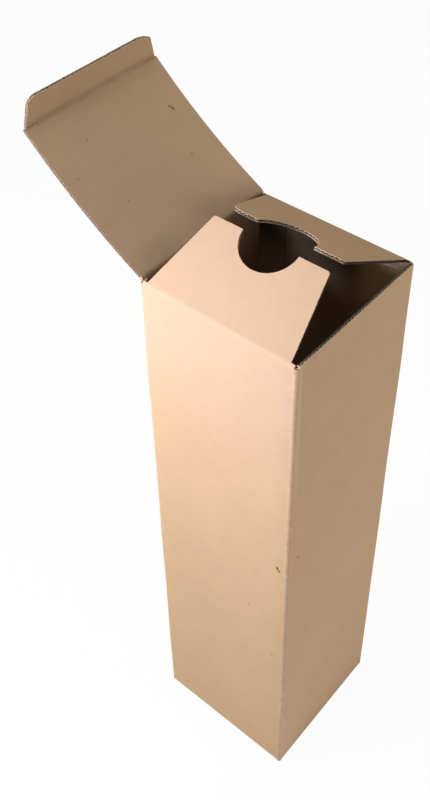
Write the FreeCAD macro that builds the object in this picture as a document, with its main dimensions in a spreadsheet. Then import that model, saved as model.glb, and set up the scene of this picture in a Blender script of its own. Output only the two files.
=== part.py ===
"""Bottle shipping box of fine-flute corrugated board, standing open.

A square tube folded from one sheet stands on a glued bottom of four overlapping flaps.
Two dust flaps with half-round neck notches fold from the side walls. The lid folds from
the back wall and carries a tuck flap that slides inside the front wall.
Z is up, the origin is the centre of the underside, and the back wall is on +Y.
Each moving flap is drawn lying in its own XY plane with its crease through the origin,
and is then placed on the box at the angle where it rests.
"""

import FreeCAD, Part
import Sketcher
import math
import os
import re

os.makedirs("parts", exist_ok=True)

doc = FreeCAD.newDocument("bottle_shipping_box")
sheet = doc.addObject("Spreadsheet::Sheet", "sizes")

# Sizes are in millimetres and angles in degrees.
SIZES = [
    # the sheet
    ("board", 1.6, "thickness of the corrugated board"),
    ("fold_radius", 2.0, "outside radius of a folded corner"),
    ("fold_inside", "=fold_radius - board", "inside radius of a folded corner"),
    ("crease_gap", 0.15, "clearance between a crease bead and the wall under it"),
    ("cut_gap", 0.2, "clearance between a cut edge and the board beside it"),
    ("over", 1, "how far a cutting shape stands past the board"),
    # the tube
    ("box_side", 90, "outer side of the square plan"),
    ("box_height", 350, "height with the lid closed"),
    ("half", "=box_side / 2", "centre to outer wall face"),
    ("inner_half", "=half - board", "centre to inner wall face"),
    ("wall_mid", "=half - board / 2", "centre to the middle of a wall"),
    ("lid_level", "=box_height - board / 2", "height of the lid crease"),
    ("layer_gap", 0.2, "air between the closed lid and the dust flaps"),
    ("dust_level", "=lid_level - board - layer_gap", "height of the dust flap creases"),
    ("front_top", "=lid_level - board / 2", "raw top edge of the front wall"),
    ("back_top", "=lid_level - board / 2 - crease_gap", "top of the back wall under its crease"),
    ("side_top", "=dust_level - board / 2 - crease_gap", "top of the side walls under their creases"),
    ("side_cut", "=2 * inner_half - 2 * crease_gap", "length of the lowered side wall tops"),
    # the glued seam
    ("glue_line", 0.1, "thickness of a glued layer"),
    ("seam_step", 0.3, "distance of the raw wall edge from the back face"),
    ("tab_face", "=inner_half - glue_line", "outer face of the glue tab"),
    ("tab_back", "=tab_face - board", "inner face of the glue tab"),
    ("tab_width", 15, "width of the glue tab"),
    ("tab_end", "=inner_half - tab_width", "free edge of the glue tab"),
    ("tab_drop", 0.6, "glue tab below the side wall top"),
    ("tab_top", "=side_top - tab_drop", "top of the glue tab at its fold"),
    ("tab_slope", 4, "fall of the glue tab's top edge"),
    # the glued bottom
    ("bottom_gap", 0.15, "glue between the two bottom layers"),
    ("seam_half", 0.6, "half of the gap where two bottom flaps meet"),
    ("seam_shift", 9, "distance of the lower seam from the centre"),
    ("under_inset", 5.4, "side of a lower bottom flap to the inner wall face"),
    ("under_half", "=inner_half - under_inset", "half width of the lower bottom flaps"),
    ("upper_level", "=board + bottom_gap", "underside of the upper bottom flaps"),
    ("step_run", 0.5, "side of a lower flap to where the upper flaps become level"),
    ("upper_start", "=under_half + step_run", "where the upper bottom flaps become level"),
    ("upper_inset", 0.6, "side of an upper bottom flap to the inner wall face"),
    ("upper_half", "=inner_half - upper_inset", "half width of the upper bottom flaps"),
    # the lid
    ("lid_open", 143.35, "lid opened from closed, along its chord"),
    ("lid_rise", "=180 - lid_open", "lid chord above level"),
    ("tuck_play", 0.8, "air between the closed tuck flap and the front wall"),
    ("lid_chord", "=box_side - 2 * board - tuck_play", "crease to crease across the bowed lid"),
    ("lid_side_gap", 1.0, "lid side edge to outer wall face"),
    ("lid_half", "=half - lid_side_gap", "half width of the lid"),
    ("bow_angle", 7.3, "turn of the bowed lid at each end from its chord"),
    ("bow_radius", "=lid_chord / 2 / sin(bow_angle)", "radius of the bowed lid"),
    ("bow_centre", "=bow_radius * cos(bow_angle)", "height of the bow centre over the chord"),
    ("bow_out", "=bow_radius + board / 2", "outer face radius of the bowed lid"),
    ("bow_in", "=bow_radius - board / 2", "inner face radius of the bowed lid"),
    ("bow_out_end", "=lid_chord / 2 + bow_out * sin(bow_angle)", "outer face end of the lid"),
    ("bow_in_end", "=lid_chord / 2 + bow_in * sin(bow_angle)", "inner face end of the lid"),
    ("bow_out_start", "=lid_chord / 2 - bow_out * sin(bow_angle)", "outer face start of the lid"),
    ("bow_in_start", "=lid_chord / 2 - bow_in * sin(bow_angle)", "inner face start of the lid"),
    ("bow_out_rise", "=bow_centre - bow_out * cos(bow_angle)", "height of the outer face ends"),
    ("bow_in_rise", "=bow_centre - bow_in * cos(bow_angle)", "height of the inner face ends"),
    ("slit_length", 9, "length of the slit at each end of the tuck crease"),
    ("slit_end", "=lid_half - slit_length", "inner end of the slits"),
    ("end_cut", "=lid_chord - board / 2 - crease_gap - cut_gap", "end of the lid behind the tuck bead"),
    ("end_past", "=lid_chord + 2 * board", "past the end of the lid"),
    # the tuck flap
    ("tuck_fold", 57.35, "tuck flap turned from the lid chord"),
    ("tuck_turn", "=lid_rise + tuck_fold", "tuck flap above level"),
    ("tuck_depth", 15, "depth of the tuck flap"),
    ("tuck_side_gap", 0.4, "air between the closed tuck flap and a side wall"),
    ("tuck_root", "=inner_half - tuck_side_gap", "half width of the tuck flap at its root"),
    ("tuck_taper", 3, "narrowing of the tuck flap on each side"),
    ("tuck_tip", "=tuck_root - tuck_taper", "half width of the tuck flap at its edge"),
    ("tuck_corner", 4.5, "corner radius of the tuck flap"),
    ("tuck_start", 1.05, "slit width beside the tuck bead"),
    ("tuck_bead", "=slit_end - cut_gap", "half length of the tuck bead"),
    ("tuck_x", 0, "the tuck crease is centred on the lid"),
    ("tuck_y", "=wall_mid + lid_chord * cos(lid_rise)", "tuck crease behind the centre"),
    ("tuck_z", "=lid_level + lid_chord * sin(lid_rise)", "height of the tuck crease"),
    # the dust flaps
    ("left_rise", 28, "left dust flap above level"),
    ("right_rise", 26, "right dust flap above level"),
    ("meet_gap", 0.7, "dust flap edge to the box centre when closed"),
    ("flap_depth", "=wall_mid - meet_gap", "depth of a dust flap"),
    ("flap_inset", 3.0, "dust flap shoulder to inner wall face"),
    ("flap_root", "=inner_half - flap_inset", "half width of a dust flap at its root"),
    ("lead_inset", 12.7, "lead corner of a dust flap to the outer wall face"),
    ("flap_lead", "=half - lead_inset", "half width of a dust flap at its lead edge"),
    ("flap_bead", "=inner_half - 2 * crease_gap", "half length of a dust flap bead"),
    ("notch_radius", 15.7, "radius of the bottle neck notch"),
    ("notch_half", "=sqrt(pow(notch_radius; 2) - pow(meet_gap; 2))", "half width of the notch"),
    ("lead_corner", 1.2, "radius of a sharp dust flap corner"),
    ("worn_corner", 4, "radius of the worn dust flap corner"),
    # the flutes seen in the raw edges
    ("flute_pitch", 2.6, "distance from flute to flute"),
    ("flute_base", 1.9, "width of a flute opening"),
    ("liner", 0.25, "thickness of a liner"),
    ("medium", 0.2, "thickness of the fluted medium"),
    ("flute_high", "=board / 2 - liner", "middle of the board to the inside of a liner"),
    ("flute_tip", "=flute_high - medium", "middle of the board to a flute tip"),
    ("flute_reach", 3, "depth of the flute openings"),
    ("notch_reach", "=notch_radius - meet_gap + flute_reach", "depth of the flutes at a notch"),
    ("flute_margin", 3, "last flute opening to the end of its edge"),
    ("front_flutes", "=floor(2 * (inner_half - flute_margin) / flute_pitch)", "flutes in the front edge"),
    ("tuck_flutes", "=floor(2 * (tuck_tip - tuck_corner) / flute_pitch) - 1", "flutes in the tuck"),
    ("lead_flutes", "=floor(2 * (flap_lead - flute_margin) / flute_pitch)", "flutes in a lead edge"),
    ("notch_flutes", "=2 * floor((notch_radius - flute_margin) / flute_pitch)", "flutes in a notch"),
    ("front_first", "=-(front_flutes - 0.5) * flute_pitch / 2", "first flute of the front edge"),
    ("tuck_first", "=-(tuck_flutes - 0.5) * flute_pitch / 2", "first flute of the tuck"),
    ("lead_first", "=-(lead_flutes - 0.5) * flute_pitch / 2", "first flute of a lead edge"),
    ("notch_first", "=-(notch_flutes - 0.5) * flute_pitch / 2", "first flute of a notch"),
]

for row, (alias, value, note) in enumerate(SIZES, start=1):
    sheet.set("A%d" % row, note)
    sheet.set("B%d" % row, str(value))
    sheet.setAlias("B%d" % row, alias)
doc.recompute()

NAMES = [alias for alias, value, note in SIZES]
UPRIGHT = 1e-6  # an edge leaning less than this counts as upright


def ref(text):
    """An expression over the sheet's names, written without the sheet's own name."""
    return re.sub(r"[a-z_]+", lambda m: "sizes." + m.group() if m.group() in NAMES else m.group(), str(text))


def number(text):
    """The present value of an expression over the sheet's names."""
    return float(sheet.evalExpression(ref(text)))


def plane(body, name):
    """One of the three base planes of a body: XY, XZ or YZ."""
    for feature in body.Origin.OriginFeatures:
        if feature.Name.startswith(name):
            return feature
    raise ValueError(name)


def new_sketch(body, label, base, offset="0"):
    """A sketch on a base plane, moved along the plane's normal by an expression."""
    sketch = body.newObject("Sketcher::SketchObject", label)
    sketch.AttachmentSupport = (plane(body, base), [""])
    sketch.MapMode = "FlatFace"
    if offset != "0":
        sketch.setExpression("AttachmentOffset.Base.z", ref(offset))
    return sketch


def pin(sketch, geometry, end, x_text, y_text):
    """Ties one end of a line or arc to two expressions measured from the origin."""
    for kind, text in (("DistanceX", x_text), ("DistanceY", y_text)):
        index = sketch.addConstraint(Sketcher.Constraint(kind, -1, 1, geometry, end, number(text)))
        sketch.setExpression("Constraints[%d]" % index, ref(text))


def outline(sketch, points):
    """A closed outline through points, each (x, y) or (x, y, radius, turn).

    A point with a radius starts an arc to the next point, turning left for +1 and
    right for -1. Every corner is tied to the sheet.
    """
    count = len(points)
    place = [FreeCAD.Vector(number(p[0]), number(p[1]), 0) for p in points]
    ends = []
    for i, point in enumerate(points):
        start = place[i]
        finish = place[(i + 1) % count]
        if len(point) == 2:
            ends.append((sketch.addGeometry(Part.LineSegment(start, finish), False), 1, 2))
            continue
        radius = number(point[2])
        turn = point[3]
        chord = finish - start
        middle = (start + finish) * 0.5
        away = FreeCAD.Vector(-chord.y, chord.x, 0).normalize() * turn
        centre = middle + away * math.sqrt(max(radius ** 2 - (chord.Length / 2) ** 2, 0))
        first = start if turn > 0 else finish
        last = finish if turn > 0 else start
        angle_first = math.atan2(first.y - centre.y, first.x - centre.x)
        angle_last = math.atan2(last.y - centre.y, last.x - centre.x)
        circle = Part.Circle(centre, FreeCAD.Vector(0, 0, 1), radius)
        index = sketch.addGeometry(Part.ArcOfCircle(circle, angle_first, angle_last), False)
        ends.append((index, 1, 2) if turn > 0 else (index, 2, 1))
        held = sketch.addConstraint(Sketcher.Constraint("Radius", index, radius))
        sketch.setExpression("Constraints[%d]" % held, ref(point[2]))
    for i in range(count):
        index, start_end, finish_end = ends[i]
        following, following_start, _ = ends[(i + 1) % count]
        sketch.addConstraint(
            Sketcher.Constraint("Coincident", index, finish_end, following, following_start)
        )
        pin(sketch, index, start_end, points[i][0], points[i][1])


def both_ways(body, kind, label, sketch, length):
    """A pad or pocket of a sketch, half of its length to each side."""
    feature = body.newObject("PartDesign::" + kind, label)
    feature.Profile = sketch
    feature.SideType = "Symmetric"
    feature.setExpression("Length", ref(length))
    sketch.Visibility = False
    return feature


def one_way(body, label, sketch, length):
    """A pad of a sketch along its normal."""
    feature = body.newObject("PartDesign::Pad", label)
    feature.Profile = sketch
    feature.setExpression("Length", ref(length))
    sketch.Visibility = False
    return feature


def bead(body, label, base, length):
    """The round bead along a crease."""
    sketch = new_sketch(body, label + "_round", base)
    circle = Part.Circle(FreeCAD.Vector(0, 0, 0), FreeCAD.Vector(0, 0, 1), number("board / 2"))
    index = sketch.addGeometry(circle, False)
    sketch.addConstraint(Sketcher.Constraint("Coincident", index, 3, -1, 1))
    held = sketch.addConstraint(Sketcher.Constraint("Radius", index, number("board / 2")))
    sketch.setExpression("Constraints[%d]" % held, ref("board / 2"))
    return both_ways(body, "Pad", label, sketch, length)


def flutes(body, label, base, offset, middle, upright, first, count, reach):
    """A row of flute openings in a raw edge: one flute up, one down, repeated."""
    sketch = new_sketch(body, label + "_pair", base, offset)
    for along, side in ((first, 1), (first + " + flute_pitch / 2", -1)):
        low = "%s - %d * flute_high" % (middle, side)
        tip = "%s + %d * flute_tip" % (middle, side)
        corners = [
            (along + " - flute_base / 2", low),
            (along + " + flute_base / 2", low),
            (along, tip),
        ]
        if upright:
            corners = [(y, x) for x, y in corners]
        outline(sketch, corners)
    cut = both_ways(body, "Pocket", label + "_cut", sketch, "2 * " + reach)
    row = body.newObject("PartDesign::LinearPattern", label)
    row.Originals = [cut]
    row.Direction = (sketch, ["V_Axis" if upright else "H_Axis"])
    row.setExpression("Length", ref("(%s - 1) * flute_pitch" % count))
    row.setExpression("Occurrences", ref(count))
    return row


def round_corners(body, label, after, spots, radius):
    """Rounds the upright edges that stand nearest to the given spots."""
    doc.recompute()
    names = []
    for spot_x, spot_y in spots:
        spot = FreeCAD.Vector(spot_x, spot_y, 0)
        distances = []
        for i, edge in enumerate(after.Shape.Edges):
            if len(edge.Vertexes) != 2:
                continue
            along = edge.Vertexes[0].Point - edge.Vertexes[1].Point
            if along.cross(FreeCAD.Vector(0, 0, 1)).Length < UPRIGHT:
                distances.append((edge.distToShape(Part.Vertex(spot))[0], i))
        names.append("Edge%d" % (min(distances)[1] + 1))
    feature = body.newObject("PartDesign::Fillet", label)
    feature.Base = (after, names)
    feature.setExpression("Radius", ref(radius))
    return feature


# The tube, its glue tab and its bottom are one folded and glued sheet.
box = doc.addObject("PartDesign::Body", "box_body")
box.Label = "box_body"

walls = new_sketch(box, "wall_plan", "XY")
outline(walls, [
    ("half", "half - seam_step"),
    ("half", "fold_radius - half", "fold_radius", -1),
    ("half - fold_radius", "-half"),
    ("fold_radius - half", "-half", "fold_radius", -1),
    ("-half", "fold_radius - half"),
    ("-half", "half - fold_radius", "fold_radius", -1),
    ("fold_radius - half", "half"),
    ("tab_face - fold_radius", "half", "fold_radius", -1),
    ("tab_face", "half - fold_radius"),
    ("tab_face", "tab_end"),
    ("tab_back", "tab_end"),
    ("tab_back", "half - fold_radius", "fold_inside", 1),
    ("tab_back - fold_inside", "inner_half"),
    ("fold_radius - half", "inner_half", "fold_inside", 1),
    ("-inner_half", "half - fold_radius"),
    ("-inner_half", "fold_radius - half", "fold_inside", 1),
    ("fold_radius - half", "-inner_half"),
    ("half - fold_radius", "-inner_half", "fold_inside", 1),
    ("inner_half", "fold_radius - half"),
    ("inner_half", "half - seam_step"),
])
one_way(box, "tube_walls", walls, "front_top")

under = new_sketch(box, "lower_flap_section", "XZ")
for side, end in ((1, "seam_half - seam_shift"), (-1, "-seam_half - seam_shift")):
    outline(under, [
        (end, "0"),
        ("%d * wall_mid" % side, "0"),
        ("%d * wall_mid" % side, "board"),
        (end, "board"),
    ])
both_ways(box, "Pad", "lower_flaps", under, "2 * under_half")

upper = new_sketch(box, "upper_flap_section", "YZ")
for side in (1, -1):
    outline(upper, [
        ("%d * wall_mid" % side, "0"),
        ("%d * (half - fold_radius)" % side, "0"),
        ("%d * upper_start" % side, "upper_level"),
        ("%d * seam_half" % side, "upper_level"),
        ("%d * seam_half" % side, "upper_level + board"),
        ("%d * upper_start" % side, "upper_level + board"),
        ("%d * (half - fold_radius)" % side, "board"),
        ("%d * wall_mid" % side, "board"),
    ])
both_ways(box, "Pad", "upper_flaps", upper, "2 * upper_half")

for base, label in (("XZ", "side_bottom_folds"), ("YZ", "front_bottom_folds")):
    fold = new_sketch(box, label + "_section", base)
    for side, turn in ((1, 1), (-1, -1)):
        outline(fold, [
            ("%d * (half - fold_radius)" % side, "0", "fold_radius", turn),
            ("%d * half" % side, "fold_radius"),
            ("%d * (half + over)" % side, "fold_radius"),
            ("%d * (half + over)" % side, "-over"),
            ("%d * (half - fold_radius)" % side, "-over"),
        ])
    both_ways(box, "Pocket", label, fold, "2 * (half + over)")

side_edges = new_sketch(box, "side_top_section", "XZ")
for side in (1, -1):
    outline(side_edges, [
        ("%d * (tab_back - over)" % side, "side_top"),
        ("%d * (half + over)" % side, "side_top"),
        ("%d * (half + over)" % side, "box_height"),
        ("%d * (tab_back - over)" % side, "box_height"),
    ])
both_ways(box, "Pocket", "side_top_edges", side_edges, "side_cut")

back_edge = new_sketch(box, "back_top_section", "YZ")
outline(back_edge, [
    ("inner_half - cut_gap", "back_top"),
    ("half + over", "back_top"),
    ("half + over", "box_height"),
    ("inner_half - cut_gap", "box_height"),
])
both_ways(box, "Pocket", "back_top_edge", back_edge, "2 * (half + over)")

tab_edge = new_sketch(box, "tab_top_section", "YZ", "tab_face - board / 2")
outline(tab_edge, [
    ("tab_end - over", "tab_top - tab_slope"),
    ("inner_half - fold_inside", "tab_top"),
    ("inner_half - fold_inside", "box_height"),
    ("tab_end - over", "box_height"),
])
both_ways(box, "Pocket", "tab_top_edge", tab_edge, "board + glue_line")

flutes(box, "front_edge_flutes", "XY", "front_top", "-wall_mid", False,
       "front_first", "front_flutes", "flute_reach")


# The lid is a gently bowed panel with a bead on its crease and an open slit at each end.
lid = doc.addObject("PartDesign::Body", "lid_panel")
lid.Label = "lid_panel"

bow = new_sketch(lid, "lid_section", "YZ")
outline(bow, [
    ("bow_out_start", "bow_out_rise", "bow_out", 1),
    ("bow_out_end", "bow_out_rise"),
    ("bow_in_end", "bow_in_rise", "bow_in", -1),
    ("bow_in_start", "bow_in_rise"),
])
both_ways(lid, "Pad", "lid_sheet", bow, "2 * lid_half")
bead(lid, "lid_bead", "YZ", "2 * lid_half")

lid_end = new_sketch(lid, "lid_end_plan", "XY")
outline(lid_end, [
    ("-slit_end", "end_cut"),
    ("slit_end", "end_cut"),
    ("slit_end", "end_past"),
    ("-slit_end", "end_past"),
])
both_ways(lid, "Pocket", "lid_end", lid_end, "10 * board")

lid.Placement = FreeCAD.Placement(
    FreeCAD.Vector(0, number("wall_mid"), number("lid_level")),
    FreeCAD.Rotation(FreeCAD.Vector(1, 0, 0), number("lid_rise")),
)
lid.setExpression("Placement.Base.y", ref("wall_mid"))
lid.setExpression("Placement.Base.z", ref("lid_level"))
lid.setExpression("Placement.Rotation.Angle", ref("lid_rise"))


# The tuck flap tapers to rounded corners and shows its flutes along the edge.
tuck = doc.addObject("PartDesign::Body", "tuck_flap")
tuck.Label = "tuck_flap"

tuck_plan = new_sketch(tuck, "tuck_plan", "XY")
outline(tuck_plan, [
    ("-tuck_bead", "0"),
    ("tuck_bead", "0"),
    ("tuck_bead", "tuck_start"),
    ("tuck_root", "tuck_start"),
    ("tuck_tip", "tuck_depth"),
    ("-tuck_tip", "tuck_depth"),
    ("-tuck_root", "tuck_start"),
    ("-tuck_bead", "tuck_start"),
])
tuck_sheet = both_ways(tuck, "Pad", "tuck_sheet", tuck_plan, "board")
tuck_spots = [(side * number("tuck_tip"), number("tuck_depth")) for side in (1, -1)]
round_corners(tuck, "tuck_corners", tuck_sheet, tuck_spots, "tuck_corner")
bead(tuck, "tuck_bead_pad", "YZ", "2 * tuck_bead")
flutes(tuck, "tuck_edge_flutes", "XZ", "-tuck_depth", "0", False,
       "tuck_first", "tuck_flutes", "flute_reach")

tuck.Placement = FreeCAD.Placement(
    FreeCAD.Vector(0, number("tuck_y"), number("tuck_z")),
    FreeCAD.Rotation(FreeCAD.Vector(1, 0, 0), number("tuck_turn")),
)
tuck.setExpression("Placement.Base.y", ref("tuck_y"))
tuck.setExpression("Placement.Base.z", ref("tuck_z"))
tuck.setExpression("Placement.Rotation.Angle", ref("tuck_turn"))


def dust_flap(name, side, rise, back_corner):
    """A dust flap that reaches from its side wall towards the box centre.

    side is +1 for the flap that reaches along +X and -1 for the one along -X.
    """
    body = doc.addObject("PartDesign::Body", name)
    body.Label = name
    lead = "%d * flap_depth" % side
    plan = new_sketch(body, name + "_plan", "XY")
    outline(plan, [
        ("0", "-flap_root"),
        ("%d * board" % side, "-flap_root"),
        (lead, "-flap_lead"),
        (lead, "-notch_half", "notch_radius", -side),
        (lead, "notch_half"),
        (lead, "flap_lead"),
        ("%d * board" % side, "flap_root"),
        ("0", "flap_root"),
    ])
    plate = both_ways(body, "Pad", name + "_sheet", plan, "board")
    edge = side * number("flap_depth")
    front = round_corners(body, name + "_front_corner", plate,
                          [(edge, -number("flap_lead"))], "lead_corner")
    round_corners(body, name + "_back_corner", front, [(edge, number("flap_lead"))], back_corner)
    bead(body, name + "_bead", "XZ", "2 * flap_bead")
    flutes(body, name + "_lead_flutes", "YZ", lead, "0", False,
           "lead_first", "lead_flutes", "flute_reach")
    flutes(body, name + "_notch_flutes", "YZ", lead, "0", False,
           "notch_first", "notch_flutes", "notch_reach")
    body.Placement = FreeCAD.Placement(
        FreeCAD.Vector(-side * number("wall_mid"), 0, number("dust_level")),
        FreeCAD.Rotation(FreeCAD.Vector(0, -side, 0), number(rise)),
    )
    body.setExpression("Placement.Base.x", ref("%d * wall_mid" % -side))
    body.setExpression("Placement.Base.z", ref("dust_level"))
    body.setExpression("Placement.Rotation.Angle", ref(rise))
    return body


left = dust_flap("left_dust_flap", 1, "left_rise", "lead_corner")
right = dust_flap("right_dust_flap", -1, "right_rise", "worn_corner")

doc.recompute()

for item in doc.Objects:
    if "Invalid" in item.State or "Error" in item.State:
        raise RuntimeError("%s is %s" % (item.Name, item.State))
    shape = getattr(item, "Shape", None)
    if shape is None or item.isDerivedFrom("App::Origin") or item.isDerivedFrom("App::DatumElement"):
        continue
    if shape.isNull() or not shape.isValid():
        raise RuntimeError("%s has no valid shape" % item.Name)

for body in (box, lid, tuck, left, right):
    if len(body.Shape.Solids) != 1:
        raise RuntimeError("%s is not one solid" % body.Label)
    body.Shape.exportStep("parts/%s.step" % body.Label)
    bounds = body.Shape.BoundBox
    print(body.Label, round(body.Shape.Volume), [round(v, 2) for v in (
        bounds.XMin, bounds.YMin, bounds.ZMin, bounds.XMax, bounds.YMax, bounds.ZMax)])
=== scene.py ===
"""Folds and dresses a tall corrugated shipping box for one bottle, standing open.

The lid, the tuck flap and the dust flaps are die-cut flat, as two liners with a fluted medium
between them, and are then folded along their creases. The walls are a square tube with rounded
corners, and the bottom flaps are rolled up into them. Lengths are in millimetres, and MM turns
them into metres.
"""

import math

import bmesh
import bpy
from mathutils import Matrix, Vector


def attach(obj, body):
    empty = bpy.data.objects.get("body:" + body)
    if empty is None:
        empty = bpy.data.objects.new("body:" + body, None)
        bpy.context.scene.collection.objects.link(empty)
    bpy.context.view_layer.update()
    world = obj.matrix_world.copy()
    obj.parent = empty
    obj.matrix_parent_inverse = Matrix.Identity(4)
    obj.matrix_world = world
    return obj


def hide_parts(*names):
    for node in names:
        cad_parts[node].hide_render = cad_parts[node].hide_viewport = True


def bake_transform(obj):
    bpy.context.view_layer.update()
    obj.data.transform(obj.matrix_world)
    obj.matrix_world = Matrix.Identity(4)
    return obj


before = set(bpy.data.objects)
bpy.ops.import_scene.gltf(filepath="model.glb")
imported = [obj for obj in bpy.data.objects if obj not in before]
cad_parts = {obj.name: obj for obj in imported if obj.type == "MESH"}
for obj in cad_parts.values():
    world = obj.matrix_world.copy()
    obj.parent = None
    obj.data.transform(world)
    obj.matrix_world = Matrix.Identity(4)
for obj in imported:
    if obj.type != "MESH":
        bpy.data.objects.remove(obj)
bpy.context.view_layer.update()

bl_info = {
    "name": "Bottle shipping box",
    "version": (1, 0, 0),
    "blender": (4, 5, 0),
    "location": "3D View > Sidebar > Box",
    "description": "Folds a corrugated shipping box for one bottle and sets it on a studio floor",
    "category": "Object",
}

MM = 0.001
SIDES = {"back": 0, "left": 90, "right": -90}
# The papers of a piece, in the order in which finishes gives them.
KRAFT, RAW, SHADED_FLUTING, CUT, SIDE = range(5)
# Half the length of the lid's crease, and how long before the tuck crease the tuck board starts.
LID_ROOT, TUCK_LEAD = 41.2, 5
# The worn front left corner: how far the dents reach from it, and the height where they end.
DENTS_REACH, DENTS_TOP = 3.2, 346
# Bottom flaps: half widths, the level part of an upper one, and the air under it.
LOWER_HALF, UPPER_HALF, UPPER_LEVEL, LAYER_GAP = 38, 42.8, 38.5, 0.15
# Corner radii of the dust flaps, as cut and where the right one is worn.
CUT_CORNER, WORN_CORNER = 1.2, 6.5


def length(name, description, default):
    """A length property given in millimetres."""
    return bpy.props.FloatProperty(
        name=name, description=description, default=default * MM, unit="LENGTH", precision=4
    )


def angle(name, description, default):
    """An angle property given in degrees."""
    return bpy.props.FloatProperty(
        name=name, description=description, default=math.radians(default), subtype="ANGLE"
    )


def colour(name, description, default):
    """A colour property."""
    return bpy.props.FloatVectorProperty(
        name=name, description=description, default=default, subtype="COLOR", size=3, min=0, max=1
    )


def strength(name, description, default):
    """A strength of light."""
    return bpy.props.FloatProperty(name=name, description=description, default=default, min=0)


class BoardSizes(bpy.types.PropertyGroup):
    """The corrugated board."""
    thickness: length("Board", "Thickness of the board over both liners", 1.6)
    liner: length("Liner", "Thickness of each liner", 0.3)
    medium: length("Medium", "Thickness of the fluted paper", 0.22)
    pitch: length("Flute pitch", "Distance from flute to flute", 2.6)
    fold: length("Fold radius", "Outside radius of a folded corner", 2.0)


class TubeSizes(bpy.types.PropertyGroup):
    """The four walls, the glue tab and the bottom."""
    side: length("Side", "Outer side of the square plan", 90)
    front_top: length("Front top", "Height of the raw front edge", 348.4)
    corner_top: length("Corner top", "Height of the folded corners", 347.2)
    side_top: length("Side top", "Height where the dust flaps take over", 344.4)
    back_top: length("Back top", "Height where the lid takes over", 346.2)
    tab: length("Glue tab", "Width of the glue tab", 15)
    bulge: length("Bulge", "How far the walls wander from flat", 1.0)


class LidSizes(bpy.types.PropertyGroup):
    """The lid and its tuck flap."""
    crease: length("Crease height", "Height of the lid crease", 349.2)
    chord: length("Chord", "Crease to crease across the bowed lid", 86.0)
    half: length("Half width", "Half width of the lid", 44)
    rise: angle("Rise", "Lid above level, along its chord", 36.65)
    bow: angle("Bow", "Turn of the bowed lid at each end", 7.3)
    slit: length("Slit", "Length of the slit beside the tuck crease", 9)
    tuck_depth: length("Tuck depth", "Depth of the tuck flap", 15)
    tuck_root: length("Tuck root", "Half width of the tuck flap at its root", 43)
    tuck_tip: length("Tuck tip", "Half width of the tuck flap at its edge", 40)
    tuck_corner: length("Tuck corner", "Corner radius of the tuck flap", 4.5)
    tuck_turn: angle("Tuck turn", "Tuck flap above level", 94)


class DustFlapSizes(bpy.types.PropertyGroup):
    """The two dust flaps."""
    crease: length("Crease height", "Height of the dust flap creases", 347.4)
    depth: length("Depth", "Reach from the crease to the lead edge", 43.5)
    ear: length("Ear", "Half width just above the crease", 40.9)
    root: length("Root", "Half width where the sides begin to taper", 40.6)
    lead: length("Lead", "Half width at the lead edge", 32.3)
    notch: length("Notch", "Radius of the neck notch", 15.7)
    left_rise: angle("Left rise", "Left dust flap above level", 28)
    right_rise: angle("Right rise", "Right dust flap above level", 26)


class Looks(bpy.types.PropertyGroup):
    """Colours of the paper, some of them darkened as painted shade, and strength of the light."""
    kraft: colour("Kraft", "Liner colour", (0.52, 0.348, 0.205))
    raw: colour("Raw edge", "Torn and cut fibres", (0.46, 0.35, 0.24))
    # The fluting colour is near black, darker than fluting paper: painted shade for the hollows
    # between the liners.
    fluting: colour("Fluting", "Paper of the flutes", (0.045, 0.029, 0.016))
    flute_edge: colour("Flute edge", "Flutes where they are cut across", (0.46, 0.35, 0.24))
    # The side edge colour is much darker than the kraft, so that the lit cut sides of the lid and
    # tuck look shaded: painted shade on a cut edge.
    side_edge: colour("Side edge", "Crushed edges along the sides of the lid", (0.20, 0.135, 0.08))
    grime: colour("Grime", "Marks and dirt", (0.055, 0.033, 0.018))
    light: strength("Light", "Strength of all the lamps", 1.0)
    room: strength("Room", "Strength of the light all round", 0.12)


GROUPS = {
    "board_sizes": BoardSizes,
    "tube_sizes": TubeSizes,
    "lid_sizes": LidSizes,
    "dust_flap_sizes": DustFlapSizes,
    "box_looks": Looks,
}


def size(group, name):
    """A size in millimetres, or an angle in degrees, as the scene has it now."""
    value = getattr(getattr(bpy.context.scene, group), name)
    if GROUPS[group].__annotations__[name].keywords.get("subtype") == "ANGLE":
        return math.degrees(value)
    return value / MM


def sizes(group, *names):
    """Several sizes of one group."""
    return [size(group, name) for name in names]


def wall_mid():
    """From the centre to the middle of a wall's board."""
    return size("tube_sizes", "side") / 2 - size("board_sizes", "thickness") / 2


def clear_bench():
    """Nothing is being edited and nothing is selected."""
    if bpy.context.mode != "OBJECT":
        leave_edit()
    bpy.ops.object.select_all(action="DESELECT")


def take(piece):
    """Selects one piece alone."""
    clear_bench()
    piece.select_set(True)
    bpy.context.view_layer.objects.active = piece


def leave_edit():
    """Closes the piece that is open for shaping."""
    bpy.ops.object.mode_set(mode="OBJECT")


def edit(piece):
    """Opens one piece for shaping."""
    if bpy.context.mode != "OBJECT" and bpy.context.object is piece:
        return
    take(piece)
    bpy.ops.object.mode_set(mode="EDIT")


def block(name, first, last):
    """A block between two opposite corners."""
    clear_bench()
    low, high = (Vector(tuple(map(choose, first, last))) * MM for choose in (min, max))
    bpy.ops.mesh.primitive_cube_add(size=1, location=(low + high) / 2)
    piece = bpy.context.object
    piece.name = piece.data.name = name
    piece.scale = high - low
    bpy.ops.object.transform_apply(location=True, rotation=True, scale=True)
    return piece


def rod(name, centre, radius, reach, corners):
    """A round bar along Y, for cutting."""
    clear_bench()
    bpy.ops.mesh.primitive_cylinder_add(
        vertices=corners, radius=radius * MM, depth=reach * MM,
        location=Vector(centre) * MM, rotation=(math.pi / 2, 0, 0),
    )
    piece = bpy.context.object
    piece.name = piece.data.name = name
    bpy.ops.object.transform_apply(location=True, rotation=True, scale=True)
    return piece


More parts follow.
